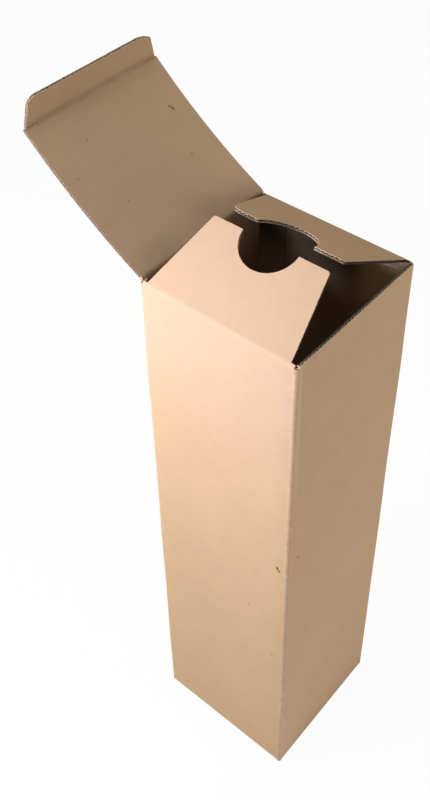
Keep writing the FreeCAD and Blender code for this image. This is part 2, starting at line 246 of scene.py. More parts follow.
def pick(piece, kind, wanted):
    """Selects the corners, edges or faces whose middle, in mm, and direction are wanted."""
    edit(piece)
    bpy.ops.mesh.select_mode(type=kind)
    bpy.ops.mesh.select_all(action="DESELECT")
    mesh = bmesh.from_edit_mesh(piece.data)
    found = 0
    if kind == "VERT":
        for corner in mesh.verts:
            if wanted(corner.co / MM, corner.normal):
                corner.select_set(True)
                found += 1
    elif kind == "EDGE":
        for edge in mesh.edges:
            first, last = edge.verts[0].co / MM, edge.verts[1].co / MM
            if wanted((first + last) / 2, (last - first).normalized()):
                edge.select_set(True)
                found += 1
    else:
        for face in mesh.faces:
            if wanted(face.calc_center_median() / MM, face.normal):
                face.select_set(True)
                found += 1
    mesh.select_flush_mode()
    bmesh.update_edit_mesh(piece.data)
    return found


def pick_all(piece):
    """Selects a whole piece."""
    edit(piece)
    bpy.ops.mesh.select_all(action="SELECT")


def extrude(step):
    """Extrudes what is picked by a step in mm."""
    bpy.ops.mesh.extrude_region_move(TRANSFORM_OT_translate={"value": Vector(step) * MM})


def move(step):
    """Moves what is picked by a step in mm."""
    bpy.ops.transform.translate(value=Vector(step) * MM)


def widen(share, centre=(0, 0, 0)):
    """Scales what is picked about a place in mm."""
    bpy.ops.transform.resize(value=share, center_override=Vector(centre) * MM)


def shoulder(share):
    """Starts a wider or narrower stretch on the edge that is picked."""
    extrude((0, 0, 0))
    widen((share, 1, 1))


def crease(piece, place, direction, remove=False, fill=False):
    """Cuts an edge line through all of a piece, and may remove what lies beyond it."""
    pick_all(piece)
    bpy.ops.mesh.bisect(plane_co=Vector(place) * MM, plane_no=direction, clear_outer=remove,
                        use_fill=fill, threshold=1e-7)


def rows(piece, axis, places):
    """Cuts a row of parallel edge lines across one axis."""
    direction = [0, 0, 0]
    direction[axis] = 1
    for at in places:
        place = [0, 0, 0]
        place[axis] = at
        crease(piece, place, direction)


def spread(first, last, step):
    """Evenly spaced places between two ends, without the ends."""
    count = max(1, round((last - first) / step))
    return [first + (last - first) * k / count for k in range(1, count)]


def remove(piece, wanted):
    """Deletes the faces that are wanted away."""
    pick(piece, "FACE", wanted)
    bpy.ops.mesh.delete(type="FACE")


def settle(piece):
    """Merges doubled corners and points the faces outwards."""
    pick_all(piece)
    bpy.ops.mesh.remove_doubles(threshold=1e-6)
    bpy.ops.mesh.normals_make_consistent(inside=False)
    leave_edit()


def finish_with(piece, kind, **settings):
    """Adds a modifier and applies it."""
    take(piece)
    modifier = piece.modifiers.new(kind.lower(), kind)
    for name, value in settings.items():
        setattr(modifier, name, value)
    bpy.ops.object.modifier_apply(modifier=modifier.name)


def cut_with(piece, tool, operation):
    """Cuts a piece with a tool, and puts the tool away."""
    finish_with(piece, "BOOLEAN", operation=operation, solver="EXACT", object=tool)
    bpy.data.objects.remove(tool, do_unlink=True)


def copy_of(piece, name):
    """A second piece with its own mesh."""
    take(piece)
    bpy.ops.object.duplicate(linked=False)
    twin = bpy.context.object
    twin.name = twin.data.name = name
    return twin


def join(name, parts):
    """Joins parts into one piece."""
    clear_bench()
    for part in parts:
        part.select_set(True)
    bpy.context.view_layer.objects.active = parts[0]
    bpy.ops.object.join()
    whole = bpy.context.object
    whole.name = whole.data.name = name
    return whole


def turn_sign():
    """The direction in which transform.rotate turns here, found on a scratch block."""
    probe = block("probe", (0, 0, 0), (1, 1, 1))
    edit(probe)
    bpy.ops.transform.rotate(value=math.pi / 2, orient_axis="X", center_override=(0, 0, 0))
    leave_edit()
    sign = 1 if min(corner.co.y for corner in probe.data.vertices) < -0.5 * MM else -1
    bpy.data.objects.remove(probe, do_unlink=True)
    return sign


def fold(piece, lines):
    """Folds a flat standing sheet. Each line is (height, degrees, inward positive).

    The top line is folded first, so every line is still where the flat sheet has it.
    """
    sign = turn_sign()
    edit(piece)
    bpy.ops.mesh.select_mode(type="VERT")
    flat = [corner.co.z / MM for corner in bmesh.from_edit_mesh(piece.data).verts]
    for height, degrees in sorted(lines, reverse=True):
        bpy.ops.mesh.select_all(action="DESELECT")
        mesh = bmesh.from_edit_mesh(piece.data)
        for corner, at in zip(mesh.verts, flat):
            if at > height + 1e-4:
                corner.select_set(True)
        mesh.select_flush_mode()
        bmesh.update_edit_mesh(piece.data)
        bpy.ops.transform.rotate(
            value=sign * math.radians(degrees), orient_axis="X",
            center_override=(0, 0, height * MM),
        )
    leave_edit()


def fold_lines(at, degrees, reach=0.9, steps=6):
    """One fold shared out over a short stretch of board, reach mm to each side."""
    return [(at + reach * ((k + 0.5) / steps - 0.5) * 2, degrees / steps) for k in range(steps)]


def stand(piece, side, forward, height):
    """Turns a sheet made for the back wall to its own wall and lifts it to its crease."""
    take(piece)
    piece.rotation_euler = (0, 0, math.radians(SIDES[side]))
    out = Matrix.Rotation(math.radians(SIDES[side]), 3, "Z") @ Vector((0, forward, 0))
    piece.location = (out + Vector((0, 0, height))) * MM
    bpy.ops.object.transform_apply(location=True, rotation=True, scale=True)


def finishes(piece, paper):
    """Gives a piece its papers in their fixed order."""
    piece.data.materials.clear()
    for name in (paper, "raw_edge", "fluting", "flute_edge", "side_edge"):
        piece.data.materials.append(MATERIALS[name])


def paint_faces(piece, slot, wanted):
    """Puts one of the papers on the faces that are wanted."""
    if pick(piece, "FACE", wanted):
        piece.active_material_index = slot
        bpy.ops.object.material_slot_assign()
    leave_edit()


def fluted_sheet(name, half, low, high, row_step):
    """The fluted medium, standing in the XZ plane with its flutes upright."""
    pitch = size("board_sizes", "pitch")
    quarter = pitch / 4
    count = 4 * math.ceil(half / pitch) * 2
    clear_bench()
    bpy.ops.mesh.primitive_grid_add(
        x_subdivisions=count, y_subdivisions=max(1, round((high - low) / row_step)), size=1,
        location=(0, 0, (low + high) / 2 * MM), rotation=(math.pi / 2, 0, 0),
    )
    piece = bpy.context.object
    piece.name = piece.data.name = name
    piece.scale = (count * quarter * MM, (high - low) * MM, 1)
    bpy.ops.object.transform_apply(location=True, rotation=True, scale=True)
    board, liner, medium = sizes("board_sizes", "thickness", "liner", "medium")
    crest = (board / 2 - liner - medium / 2) * 1.5
    for phase, side in ((1, 1), (3, -1)):
        pick(piece, "VERT", lambda at, n: round(at.x / quarter) % 4 == phase)
        move((0, side * crest, 0))
    leave_edit()
    finish_with(piece, "SUBSURF", levels=1, render_levels=1)
    finish_with(piece, "SOLIDIFY", thickness=medium * MM, offset=0)
    settle(piece)
    return piece


def board_from(blank, name, paper, across, up, flute_rows, sides):
    """Two liners and the medium, cut to the outline of a flat standing blank.

    The cut edges are pale, and the sides have the paper given. Where that is the near-black flute
    colour, which is painted shade, only the inner liner's cut edge is pale, and the outer liner's
    sides.
    """
    board, liner = sizes("board_sizes", "thickness", "liner")
    corners = [corner.co / MM for corner in blank.data.vertices]
    low = min(c.z for c in corners)
    high = max(c.z for c in corners)
    half = max(c.x for c in corners)
    deep = max(c.y for c in corners) - min(c.y for c in corners)
    parts = []
    closed = lambda at, n: abs(n.x) > 0.6 and abs(at.x) > 20
    for side, label in ((1, "_outer"), (-1, "_inner")):
        sheet = copy_of(blank, name + label)
        pick_all(sheet)
        widen((1, liner / deep, 1))
        move((0, side * (board - liner) / 2, 0))
        rows(sheet, 0, across)
        rows(sheet, 2, up)
        settle(sheet)
        finishes(sheet, paper)
        cut, edge = RAW, sides
        if sides == SHADED_FLUTING and side > 0:
            cut, edge = KRAFT, RAW
        paint_faces(sheet, cut, lambda at, n: abs(n.y) < 0.5 and at.z > 1)
        paint_faces(sheet, edge, lambda at, n: closed(at, n) and at.z > 1)
        parts.append(sheet)
    rim = copy_of(blank, name + "_rim")
    pick_all(rim)
    widen((1, (board - 2 * liner) / deep, 1))
    rows(rim, 2, up)
    remove(rim, lambda at, n: not closed(at, n))
    leave_edit()
    finishes(rim, paper)
    paint_faces(rim, sides, lambda at, n: at.z > 1)
    finish_with(rim, "SOLIDIFY", thickness=0.35 * MM, offset=-1)
    parts.append(rim)
    flutes = fluted_sheet(name + "_flutes", half, low - 1, high + 1, flute_rows)
    cut_with(flutes, blank, "INTERSECT")
    rows(flutes, 2, [at for at in up if at < high])
    settle(flutes)
    finishes(flutes, paper)
    paint_flutes(flutes)
    parts.append(flutes)
    return join(name, parts)


def paint_flutes(flutes):
    """Near-black paper for the flutes, painted shade for the hollows between the liners, with
    paler fibres where they are cut across.
    """
    paint_faces(flutes, SHADED_FLUTING, lambda at, n: True)
    paint_faces(flutes, CUT, lambda at, n: abs(n.z) > 0.25)


def rumple(piece, shares, waves, middle=0.5):
    """Pushes the corners of a piece about with soft noise.

    shares says how far each corner follows, and a wave is (direction, grain, detail, reach).
    """
    take(piece)
    group = piece.vertex_groups.new(name="shares")
    for index, share in shares.items():
        group.add([index], share, "REPLACE")
    for direction, grain, detail, reach in waves:
        texture = bpy.data.textures.new("waves", "CLOUDS")
        texture.noise_scale = grain * MM
        texture.noise_depth = detail
        finish_with(piece, "DISPLACE", direction=direction, texture=texture, strength=reach * MM,
                    mid_level=middle, vertex_group="shares", texture_coords="LOCAL")
    piece.vertex_groups.clear()


def fray(piece, amount, grain=0.7):
    """Roughens the raw edges of the liners a little, along the sheet only."""
    raw = {index: 1.0 for face in piece.data.polygons if face.material_index == RAW
           for index in face.vertices}
    rumple(piece, raw, (("X", grain, 2, amount), ("Z", grain * 0.8, 2, amount)))


def ease(share):
    """0 to 1, soft at both ends."""
    share = min(1, max(0, share))
    return share * share * (3 - 2 * share)


def hand_over(piece, body=None, between=None, nodes=()):
    """Smooths a finished piece and hangs it on its body, or, for a piece between two bodies, only
    bakes its place into its mesh.
    """
    take(piece)
    bpy.ops.object.shade_smooth_by_angle(angle=math.radians(32))
    if between:
        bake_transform(piece)
    else:
        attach(piece, body)
    if nodes:
        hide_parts(*nodes)


class Wire:
    """A value, colour or vector on its way through a material. Its operators add nodes."""

    def __init__(self, recipe, socket):
        self.recipe = recipe
        self.socket = socket

    def maths(self, operation, *others):
        return self.recipe.add("ShaderNodeMath", {"operation": operation},
                               dict(enumerate((self,) + others)))

    def __add__(self, other):
        return self.maths("ADD", other)

    __radd__ = __add__

    def __mul__(self, other):
        return self.maths("MULTIPLY", other)

    __rmul__ = __mul__

    def __sub__(self, other):
        return self.maths("SUBTRACT", other)

    def __rsub__(self, other):
        return self.recipe.add("ShaderNodeMath", {"operation": "SUBTRACT"},
                               {0: other, 1: self})

    def __abs__(self):
        return self.maths("ABSOLUTE")

    def most(self, other):
        return self.maths("MAXIMUM", other)

    def rise(self, low, high):
        """0 below low, 1 above high, smooth between. Falls where low is above high."""
        return self.recipe.add(
            "ShaderNodeMapRange", {"interpolation_type": "SMOOTHSTEP", "clamp": True},
            {"Value": self, "From Min": low, "From Max": high, "To Min": 0.0, "To Max": 1.0},
        )


class Recipe:
    """The nodes of one material."""

    def __init__(self, name):
        self.material = bpy.data.materials.new(name)
        self.material.use_nodes = True
        self.tree = self.material.node_tree
        self.tree.nodes.clear()

    def add(self, kind, settings=None, sockets=None, out=0):
        """Adds a node, its settings first and then its socket values or links."""
        node = self.tree.nodes.new(kind)
        for name, value in (settings or {}).items():
            setattr(node, name, value)
        for name, value in (sockets or {}).items():
            self.feed(node.inputs[name], value)
        return Wire(self, node.outputs[out]) if len(node.outputs) else node

    def feed(self, socket, value):
        if isinstance(value, Wire):
            self.tree.links.new(value.socket, socket)
        elif isinstance(value, (tuple, list)) and socket.type == "RGBA":
            socket.default_value = tuple(value)[:3] + (1.0,)
        else:
            socket.default_value = value

    def place(self):
        """Object coordinates in millimetres."""
        at = self.add("ShaderNodeTexCoord", out=3)
        return self.add("ShaderNodeVectorMath", {"operation": "SCALE"}, {0: at, "Scale": 1 / MM})

    def vector(self, operation, first, second, out=0):
        return self.add("ShaderNodeVectorMath", {"operation": operation},
                        {0: first, 1: second}, out)

    def parts(self, vector):
        node = self.add("ShaderNodeSeparateXYZ", sockets={0: vector}).socket.node
        return [Wire(self, output) for output in node.outputs]

    def noise(self, at, grain, detail=2.0, roughness=0.5):
        """Noise whose patches are about grain mm across."""
        return self.add("ShaderNodeTexNoise", {"noise_dimensions": "3D"},
                        {"Vector": at, "Scale": 1 / grain, "Detail": detail,
                         "Roughness": roughness})

    def blend(self, share, first, second, mode="MIX"):
        """Mixes two colours."""
        node = self.tree.nodes.new("ShaderNodeMix")
        node.data_type = "RGBA"
        node.blend_type = mode
        for index, value in ((0, share), (6, first), (7, second)):
            self.feed(node.inputs[index], value)
        return Wire(self, node.outputs[2])

    def shader(self, base, roughness, normal, specular):
        surface = self.add("ShaderNodeBsdfPrincipled", sockets={
            "Base Color": base, "Roughness": roughness, "Normal": normal,
            "Specular IOR Level": specular})
        self.add("ShaderNodeOutputMaterial", sockets={"Surface": surface})
        return self.material

    def bump(self, height, strength, distance):
        return self.add("ShaderNodeBump", {}, {"Strength": strength, "Distance": distance * MM,
                                               "Height": height})


MATERIALS = {}


def spot(recipe, at, place, reach, stretch=(1, 1, 1)):
    """A small mark at a place on the box, soft at its rim."""
    away = recipe.vector("SUBTRACT", at, tuple(place))
    away = recipe.vector("MULTIPLY", away, tuple(1 / s for s in stretch))
    far = Wire(recipe, recipe.vector("LENGTH", away, (0, 0, 0), 1).socket)
    ragged = far + (recipe.noise(at, 0.5) - 0.5) * (reach * 0.9)
    return ragged.rise(reach, reach * 0.35)


def kraft_paper(name, marks=(), folds=(), shades=()):
    """Kraft liner: mottled fibres, specks and small marks, lighter wear at folds, painted shade
    along dark folds, and the painted light and shade of the shades list.
    """
    looks = bpy.context.scene.box_looks
    recipe = Recipe(name)
    at = recipe.place()
    x, y, z = recipe.parts(at)
    cloud = recipe.noise(at, 45, 2)
    blotch = recipe.noise(at, 9, 3, 0.6)
    fibre = recipe.noise(recipe.vector("MULTIPLY", at, (1, 1, 0.35)), 0.7, 3, 0.65)
    fleck = recipe.noise(at, 1.6, 2, 0.7)
    kraft = Vector(looks.kraft)
    tone = (cloud - 0.5) * 0.10 + (blotch - 0.5) * 0.12 + (fibre - 0.5) * 0.10 + 1.0
    paper = recipe.add("ShaderNodeCombineXYZ", sockets={0: tone, 1: tone, 2: tone})
    paper = recipe.vector("MULTIPLY", paper, tuple(kraft))
    warm = recipe.noise(at, 22, 2).rise(0.35, 0.75)
    paper = recipe.blend(warm * 0.35, paper, tuple(kraft * 1.02))
    dark = fleck.rise(0.70, 0.78)
    paper = recipe.blend(dark * 0.35, paper, tuple(kraft * 0.62))
    light = recipe.noise(recipe.vector("ADD", at, (37, 11, 5)), 2.2, 2, 0.7).rise(0.70, 0.80)
    paper = recipe.blend(light * 0.35, paper, tuple(kraft * 1.22))
    grime = None
    for place, reach, stretch, strength in marks:
        mark = spot(recipe, at, place, reach, stretch) * strength
        grime = mark if grime is None else grime.most(mark)
    if grime is not None:
        paper = recipe.blend(grime, paper, looks.grime[:])
    for where, tint in shades:
        paper = recipe.blend(where(x, y, z), paper, tint, "MULTIPLY")
    height = fibre * 0.5 + blotch * 0.25
    for place, axis, reach, shade in folds:
        off = recipe.vector("SUBTRACT", at, tuple(place))
        off = recipe.vector("MULTIPLY", off, tuple(0 if k == axis else 1 for k in range(3)))
        near = Wire(recipe, recipe.vector("LENGTH", off, (0, 0, 0), 1).socket)
        # A positive shade is wear that lightens a fold; a negative one is painted shade that
        # darkens it.
        if shade > 0:
            patchy = recipe.noise(at, 3.5, 3, 0.6).rise(0.42, 0.62) * 0.7 + 0.3
            wear_and_shade = near.rise(reach, reach * 0.2) * patchy
        else:
            patchy = recipe.noise(at, 16, 2).rise(0.25, 0.6) * 0.6 + 0.4
            wear_and_shade = near.rise(reach, 0) * patchy
        tint = kraft * 1.25 if shade > 0 else kraft * 0.5
        paper = recipe.blend(wear_and_shade * abs(shade), paper, tuple(min(1, c) for c in tint))
    rough = 0.86 + (blotch - 0.5) * 0.12
    return recipe.shader(paper, rough, recipe.bump(height, 0.35, 0.25), 0.25)


def torn_paper(name, tint, low, high, grain):
    """Cut or torn fibres, mottled between two strengths of one tint."""
    recipe = Recipe(name)
    at = recipe.place()
    fine = recipe.noise(at, grain, 3, 0.65)
    base = recipe.blend(fine.rise(0.3, 0.7), tuple(c * low for c in tint),
                        tuple(min(1, c * high) for c in tint))
    return recipe.shader(base, 0.9 + (fine - 0.5) * 0.1, recipe.bump(fine, 0.5, 0.2), 0.2)


class BOX_OT_papers(bpy.types.Operator):
    """Mixes the kraft liners, the cut edges and the near-black flute colour, which is painted
    shade
    """
    bl_idname = "shipping_box.papers"
    bl_label = "Papers"

    def execute(self, context):
        looks = context.scene.box_looks
        half = size("tube_sizes", "side") / 2
        corners = [((sx * half, sy * half, 0), 2, 2.4, 0.35)
                   for sx, sy in ((1, 1), (1, -1), (-1, 1))]
        corners.append(((-half, -half, 0), 2, 3.8, 0.6))
        # Painted light: the outer face of the left wall is made less blue lower down, a painted
        # change in the colour of the lamp light on that lit wall.
        lit_wall_tint = lambda x, y, z: z.rise(330, 250) * x.rise(-44, -44.8) * 0.9
        # Painted shade on the inner faces of the walls: they are darkened, partly as a darker
        # inner liner and partly as painted shade for the dark inside of the box.
        inside = lambda x, y, z: abs(x).most(abs(y)).rise(44.1, 43.8) * 0.8
        # Painted highlight: a lighter band on the upper front wall beside the front left corner.
        highlight_band = lambda x, y, z: (
            y.rise(-44.3, -44.7) * x.rise(-40.6, -41.4) * z.rise(240, 300) * 0.9)
        # Painted shade: a dark patch on the inner face of the right wall, where lamp light comes
        # in through the left flap's notch.
        notch_shade = lambda x, y, z: (
            x.rise(40.8, 41.3) * x.rise(44.1, 43.9) * y.rise(-26, -8) * z.rise(304, 334))
        shades = ((lit_wall_tint, (1.0, 0.985, 0.84)), (inside, (0.72, 0.76, 0.72)),
                  (highlight_band, (1.14, 1.15, 1.16)), (notch_shade, (0.17, 0.155, 0.13)))
        # Painted shade: a dark line along the tuck crease, and a wide painted shadow on the lid
        # along its hinge.
        crease_shadows = [((0, 112.4, 402), 0, 2.8, -0.5), ((0, 43.5, 350), 0, 17, -0.36)]
        MATERIALS["kraft_walls"] = kraft_paper("kraft_walls", WALL_MARKS, corners, shades)
        MATERIALS["kraft_lid"] = kraft_paper("kraft_lid", LID_MARKS, crease_shadows)
        MATERIALS["kraft_flaps"] = kraft_paper("kraft_flaps")
        for name, tint, low, high, grain in (
            ("raw_edge", looks.raw, 0.7, 1.15, 0.9),
            ("fluting", looks.fluting, 0.8, 1.2, 1.5),
            ("side_edge", looks.side_edge, 0.85, 1.15, 1.5),
            ("flute_edge", looks.flute_edge, 0.75, 1.15, 0.9),
        ):
            MATERIALS[name] = torn_paper(name, tint[:], low, high, grain)
        return {"FINISHED"}


# The marks on the paper: place, reach, how stretched along each axis, and strength.
WALL_MARKS = [
    ((-45, -38.2, 202.0), 1.0, (1, 1.0, 2.0), 0.95),
    ((-45, -39.4, 200.4), 0.9, (1, 1.2, 1.5), 0.95),
    ((-37, -45, 209), 0.9, (1, 1, 1.2), 0.85),
    ((-45, -20, 152), 0.8, (1, 1, 1.4), 0.5),
    ((-45, -36.5, 117.6), 0.7, (1, 1, 2.2), 0.4),
    ((0.6, -45, 306), 0.7, (1, 1, 1), 0.4),
]
LID_MARKS = [
    ((33.3, 92.7, 383.4), 1.1, (1, 1.2, 1.2), 0.75),
    ((32.3, 93.9, 384.4), 0.8, (1.4, 1, 1), 0.7),
    ((-19.3, 99.0, 388.7), 0.7, (1.8, 1, 1), 0.35),
    ((-36.3, 88.8, 380.3), 0.7, (1.8, 1, 1), 0.3),
    ((-21.7, 71.6, 367.4), 0.7, (1, 1, 1), 0.35),
    ((25.0, 73.4, 368.7), 0.75, (1.4, 1, 1), 0.4),
    ((-36.2, 111.6, 400.4), 0.8, (1, 1, 1), 0.35),
]


class BOX_OT_tube(bpy.types.Operator):
    """Folds the four walls and the glue tab, with the raw flutes of the front edge"""
    bl_idname = "shipping_box.tube"
    bl_label = "Tube"

    def execute(self, context):
        board, liner, fold_out = sizes("board_sizes", "thickness", "liner", "fold")
        side, front_top, corner_top, side_top, back_top, tab = sizes(
            "tube_sizes", "side", "front_top", "corner_top", "side_top", "back_top", "tab")
        mid = side / 2 - board / 2
        bend = fold_out - board / 2
        flat = mid - bend
        tab_mid = mid - board - 0.1
        tab_end = side / 2 - board - tab
        raw_end = side / 2 - 0.3
        foot = fold_out

        walls = block("walls", (-mid, -mid, 0.5), (mid, mid, front_top))
        remove(walls, lambda at, n: abs(n.z) > 0.9 or n.x > 0.9)
        pick(walls, "EDGE", lambda at, n: abs(n.z) > 0.9 and at.x > mid - 1 and at.y < 0)
        extrude((0, raw_end + mid, 0))
        pick(walls, "EDGE", lambda at, n: abs(n.z) > 0.9 and at.x > mid - 1
             and abs(at.y - mid) < 0.1)
        move((tab_mid - mid, 0, 0))
        extrude((0, tab_end - mid, 0))
        bpy.ops.mesh.select_all(action="SELECT")
        bpy.ops.mesh.normals_make_consistent(inside=False)
        leave_edit()
        front = [f for f in walls.data.polygons if abs(f.normal.y) > 0.9 and f.center.y < 0]
        if front[0].normal.y > 0:
            pick_all(walls)
            bpy.ops.mesh.flip_normals()
        folds = [(mid, -mid), (-mid, -mid), (-mid, mid), (tab_mid, mid)]
        pick(walls, "EDGE", lambda at, n: abs(n.z) > 0.9 and any(
            abs(at.x - x) < 0.05 and abs(at.y - y) < 0.05 for x, y in folds))
        bpy.ops.mesh.bevel(offset=bend * MM, segments=6, affect="EDGES")

        rows(walls, 2, [foot, side_top, back_top, corner_top] + spread(foot, side_top, 6))
        rows(walls, 0, [-LID_ROOT, LID_ROOT] + spread(-LID_ROOT, LID_ROOT, 8))
        rows(walls, 1, [-flat, flat] + spread(-flat, flat, 8))
        inward = flat - 0.1
        for spare in (
            lambda at, n: at.z < foot and min(abs(at.x), abs(at.y)) < inward,
            lambda at, n: at.z > side_top and abs(at.y) < inward and abs(n.x) > 0.9,
            lambda at, n: at.z > back_top and abs(at.x) < LID_ROOT - 0.1 and at.y > 40,
            lambda at, n: at.z > corner_top and (at.y > -inward or abs(at.x) > flat + 0.3),
        ):
            remove(walls, spare)
        on_tab = lambda at: abs(at.x - tab_mid) < 0.3 and at.y < flat
        pick(walls, "FACE", lambda at, n: on_tab(at) and abs(n.x) > 0.9)
        bpy.ops.mesh.bisect(plane_co=(tab_mid * MM, tab_end * MM, (side_top - 4) * MM),
                            plane_no=(0, -4, flat - tab_end), clear_outer=True)
        leave_edit()

        core = copy_of(walls, "core")
        remove(core, lambda at, n: (at.z < side_top - 12 and not on_tab(at))
               or (at.y < -flat and abs(at.x) < flat))
        leave_edit()
        finishes(core, "kraft_walls")
        finish_with(core, "SOLIDIFY", thickness=(board - 2 * liner) * MM, offset=0,
                    use_even_offset=True)

        inner = copy_of(walls, "inner_liner")
        pick_all(inner)
        bpy.ops.transform.shrink_fatten(value=-board / 2 * MM, use_even_offset=True)
        outer = walls
        pick_all(outer)
        bpy.ops.transform.shrink_fatten(value=board / 2 * MM, use_even_offset=True)
        for sheet, toward in ((outer, -1), (inner, 1)):
            finishes(sheet, "kraft_walls")
            finish_with(sheet, "SOLIDIFY", thickness=liner * MM, offset=toward,
                        use_even_offset=True, material_offset_rim=RAW)
            paint_faces(sheet, KRAFT, lambda at, n: n.y < -0.5 and abs(at.y - tab_end) < 1)
            # The upward cut edges of the inner liner along the front, and of both liners at the
            # front corners, get the near-black flute colour: painted shade.
            paint_faces(sheet, SHADED_FLUTING, lambda at, n: n.z > 0.9 and at.y < -flat
                        and (toward > 0 or abs(at.x) > flat))
            paint_faces(sheet, KRAFT, lambda at, n: n.z > 0.9 and at.y > flat and abs(at.x) > flat)

        flutes = fluted_sheet("front_flutes", flat, front_top - 14, front_top, 7)
        pick_all(flutes)
        move((0, -mid, 0))
        crease(flutes, (flat, 0, 0), (1, 0, 0), remove=True, fill=True)
        crease(flutes, (-flat, 0, 0), (-1, 0, 0), remove=True, fill=True)
        settle(flutes)
        finishes(flutes, "kraft_walls")
        paint_flutes(flutes)

        # The seam's open flutes are a block in the near-black flute colour: painted shade.
        seam = block("seam_flutes", (mid - board / 2 + liner, raw_end - 2.6, foot),
                     (mid + board / 2 - liner, raw_end - 1.0, corner_top - 0.5))
        rows(seam, 2, spread(foot, corner_top, 6))
        finishes(seam, "kraft_walls")
        paint_faces(seam, SHADED_FLUTING, lambda at, n: True)

        tube = join("tube_walls", [outer, inner, core, flutes, seam])
        against = tab_mid + board / 2
        pick(tube, "VERT", lambda at, n: abs(at.y - tab_end) < 0.4
             and 0 < against + 0.02 - at.x < 3)
        widen((0.3, 1, 1), (against, 0, 0))
        leave_edit()
        wander(tube, front_top)
        self.wear_corner(tube)
        fray(tube, 0.35)
        hand_over(tube, "box", nodes=["box_body"])
        return {"FINISHED"}

    def wear_corner(self, tube):
        """Dents the front left corner a little, as from handling."""
        half = size("tube_sizes", "side") / 2
        shares = {}
        for corner in tube.data.vertices:
            at = corner.co / MM
            near = max(0, 1 - math.hypot(at.x + half, at.y + half) / DENTS_REACH)
            ends = min(1, max(0, (DENTS_TOP - at.z) / 20), at.z / 40)
            shares[corner.index] = near * ends
        rumple(tube, shares, (("NORMAL", 11, 2, 1.3),), middle=0.62)


def wander(piece, top):
    """Lets the walls bow a little, and not at all at the bottom or at the creases."""
    bulge = size("tube_sizes", "bulge")
    shares = {}
    for corner in piece.data.vertices:
        height = corner.co.z / MM
        shares[corner.index] = ease((height - 2) / 60) * ease((top - 6 - height) / 60)
    rumple(piece, shares, (("X", 110, 1, bulge), ("Y", 90, 1, bulge)))


class BOX_OT_bottom(bpy.types.Operator):
    """Folds the four glued bottom flaps"""
    bl_idname = "shipping_box.bottom"
    bl_label = "Bottom"

    def execute(self, context):
        board, fold_out = sizes("board_sizes", "thickness", "fold")
        half = size("tube_sizes", "side") / 2
        mid = half - board / 2
        bend = fold_out - board / 2
        flat = mid - bend
        parts = []
        top = board / 2
        for side, lead in ((1, -8.4), (-1, -9.6)):
            root = side * (flat - 0.4)
            flap = block("lower_flap", (lead, -LOWER_HALF, top - 1), (root, LOWER_HALF, top))
            self.lay(flap)
            pick(flap, "EDGE", lambda at, n: abs(at.x - root) < 0.01)
            extrude((side * 0.4, 0, 0))
            widen((1, flat / LOWER_HALF, 1))
            self.roll(flap, (side * flat, 0, fold_out), (0, side, 0))
            parts.append(flap)
        drop = board + LAYER_GAP
        for side in (1, -1):
            root = side * UPPER_LEVEL
            flap = block("upper_flap", (-UPPER_HALF, side * 0.6, top + drop - 1),
                         (UPPER_HALF, root, top + drop))
            self.lay(flap)
            pick(flap, "EDGE", lambda at, n: abs(at.y - root) < 0.01)
            extrude((0, side * (flat - UPPER_LEVEL), -drop))
            self.roll(flap, (0, side * flat, fold_out), (-side, 0, 0))
            parts.append(flap)
        bottom = join("bottom_flaps", parts)
        hand_over(bottom, "box")
        return {"FINISHED"}

    def lay(self, flap):
        """Keeps only the upper face of the starting block as the flap's middle."""
        remove(flap, lambda at, n: n.z < 0.9)

    def roll(self, flap, centre, axis):
        """Rolls the outer edge up into the wall and gives the flap its thickness."""
        board = size("board_sizes", "thickness")
        bpy.ops.mesh.spin(steps=6, angle=math.pi / 2, center=Vector(centre) * MM, axis=axis)
        leave_edit()
        settle(flap)
        finishes(flap, "kraft_walls")
        finish_with(flap, "SOLIDIFY", thickness=board * MM, offset=0, use_even_offset=True,
                    material_offset_rim=RAW)


def lid_lines():
    """The folds of lid and tuck flap, measured along the sheet from the lid crease."""
    chord, rise, bow, turn = sizes("lid_sizes", "chord", "rise", "bow", "tuck_turn")
    arc = chord * math.radians(bow) / math.sin(math.radians(bow))
    bends = 20
    lines = fold_lines(0, -(90 - rise + bow))
    lines += [((k + 0.5) * arc / bends, 2 * bow / bends) for k in range(bends)]
    lines += fold_lines(arc, turn - 90 + (90 - rise - bow), reach=0.8)
    return arc, lines


class BOX_OT_lid(bpy.types.Operator):
    """Cuts, bows and folds the lid"""
    bl_idname = "shipping_box.lid"
    bl_label = "Lid"

    def execute(self, context):
        height, half = sizes("lid_sizes", "crease", "half")
        mid = wall_mid()
        foot = size("tube_sizes", "back_top") - height
        arc, lines = lid_lines()
        end = arc - TUCK_LEAD
        below = 0.9
        blank = block("lid_blank", (-LID_ROOT, -2, foot), (LID_ROOT, 2, -below))
        pick(blank, "FACE", lambda at, n: n.z > 0.9)
        shoulder(half / LID_ROOT)
        extrude((0, 0, end + below))
        leave_edit()
        lid = board_from(blank, "lid_board", "kraft_lid", spread(-half, half, 2.6),
                         [at for at, _ in lines if at < end], 8, SIDE)
        fray(lid, 0.3)
        fold(lid, [line for line in lines if line[0] < end])
        stand(lid, "back", mid, height)
        hand_over(lid, between=("box", "lid"),
                  nodes=["lid_panel"])
        return {"FINISHED"}


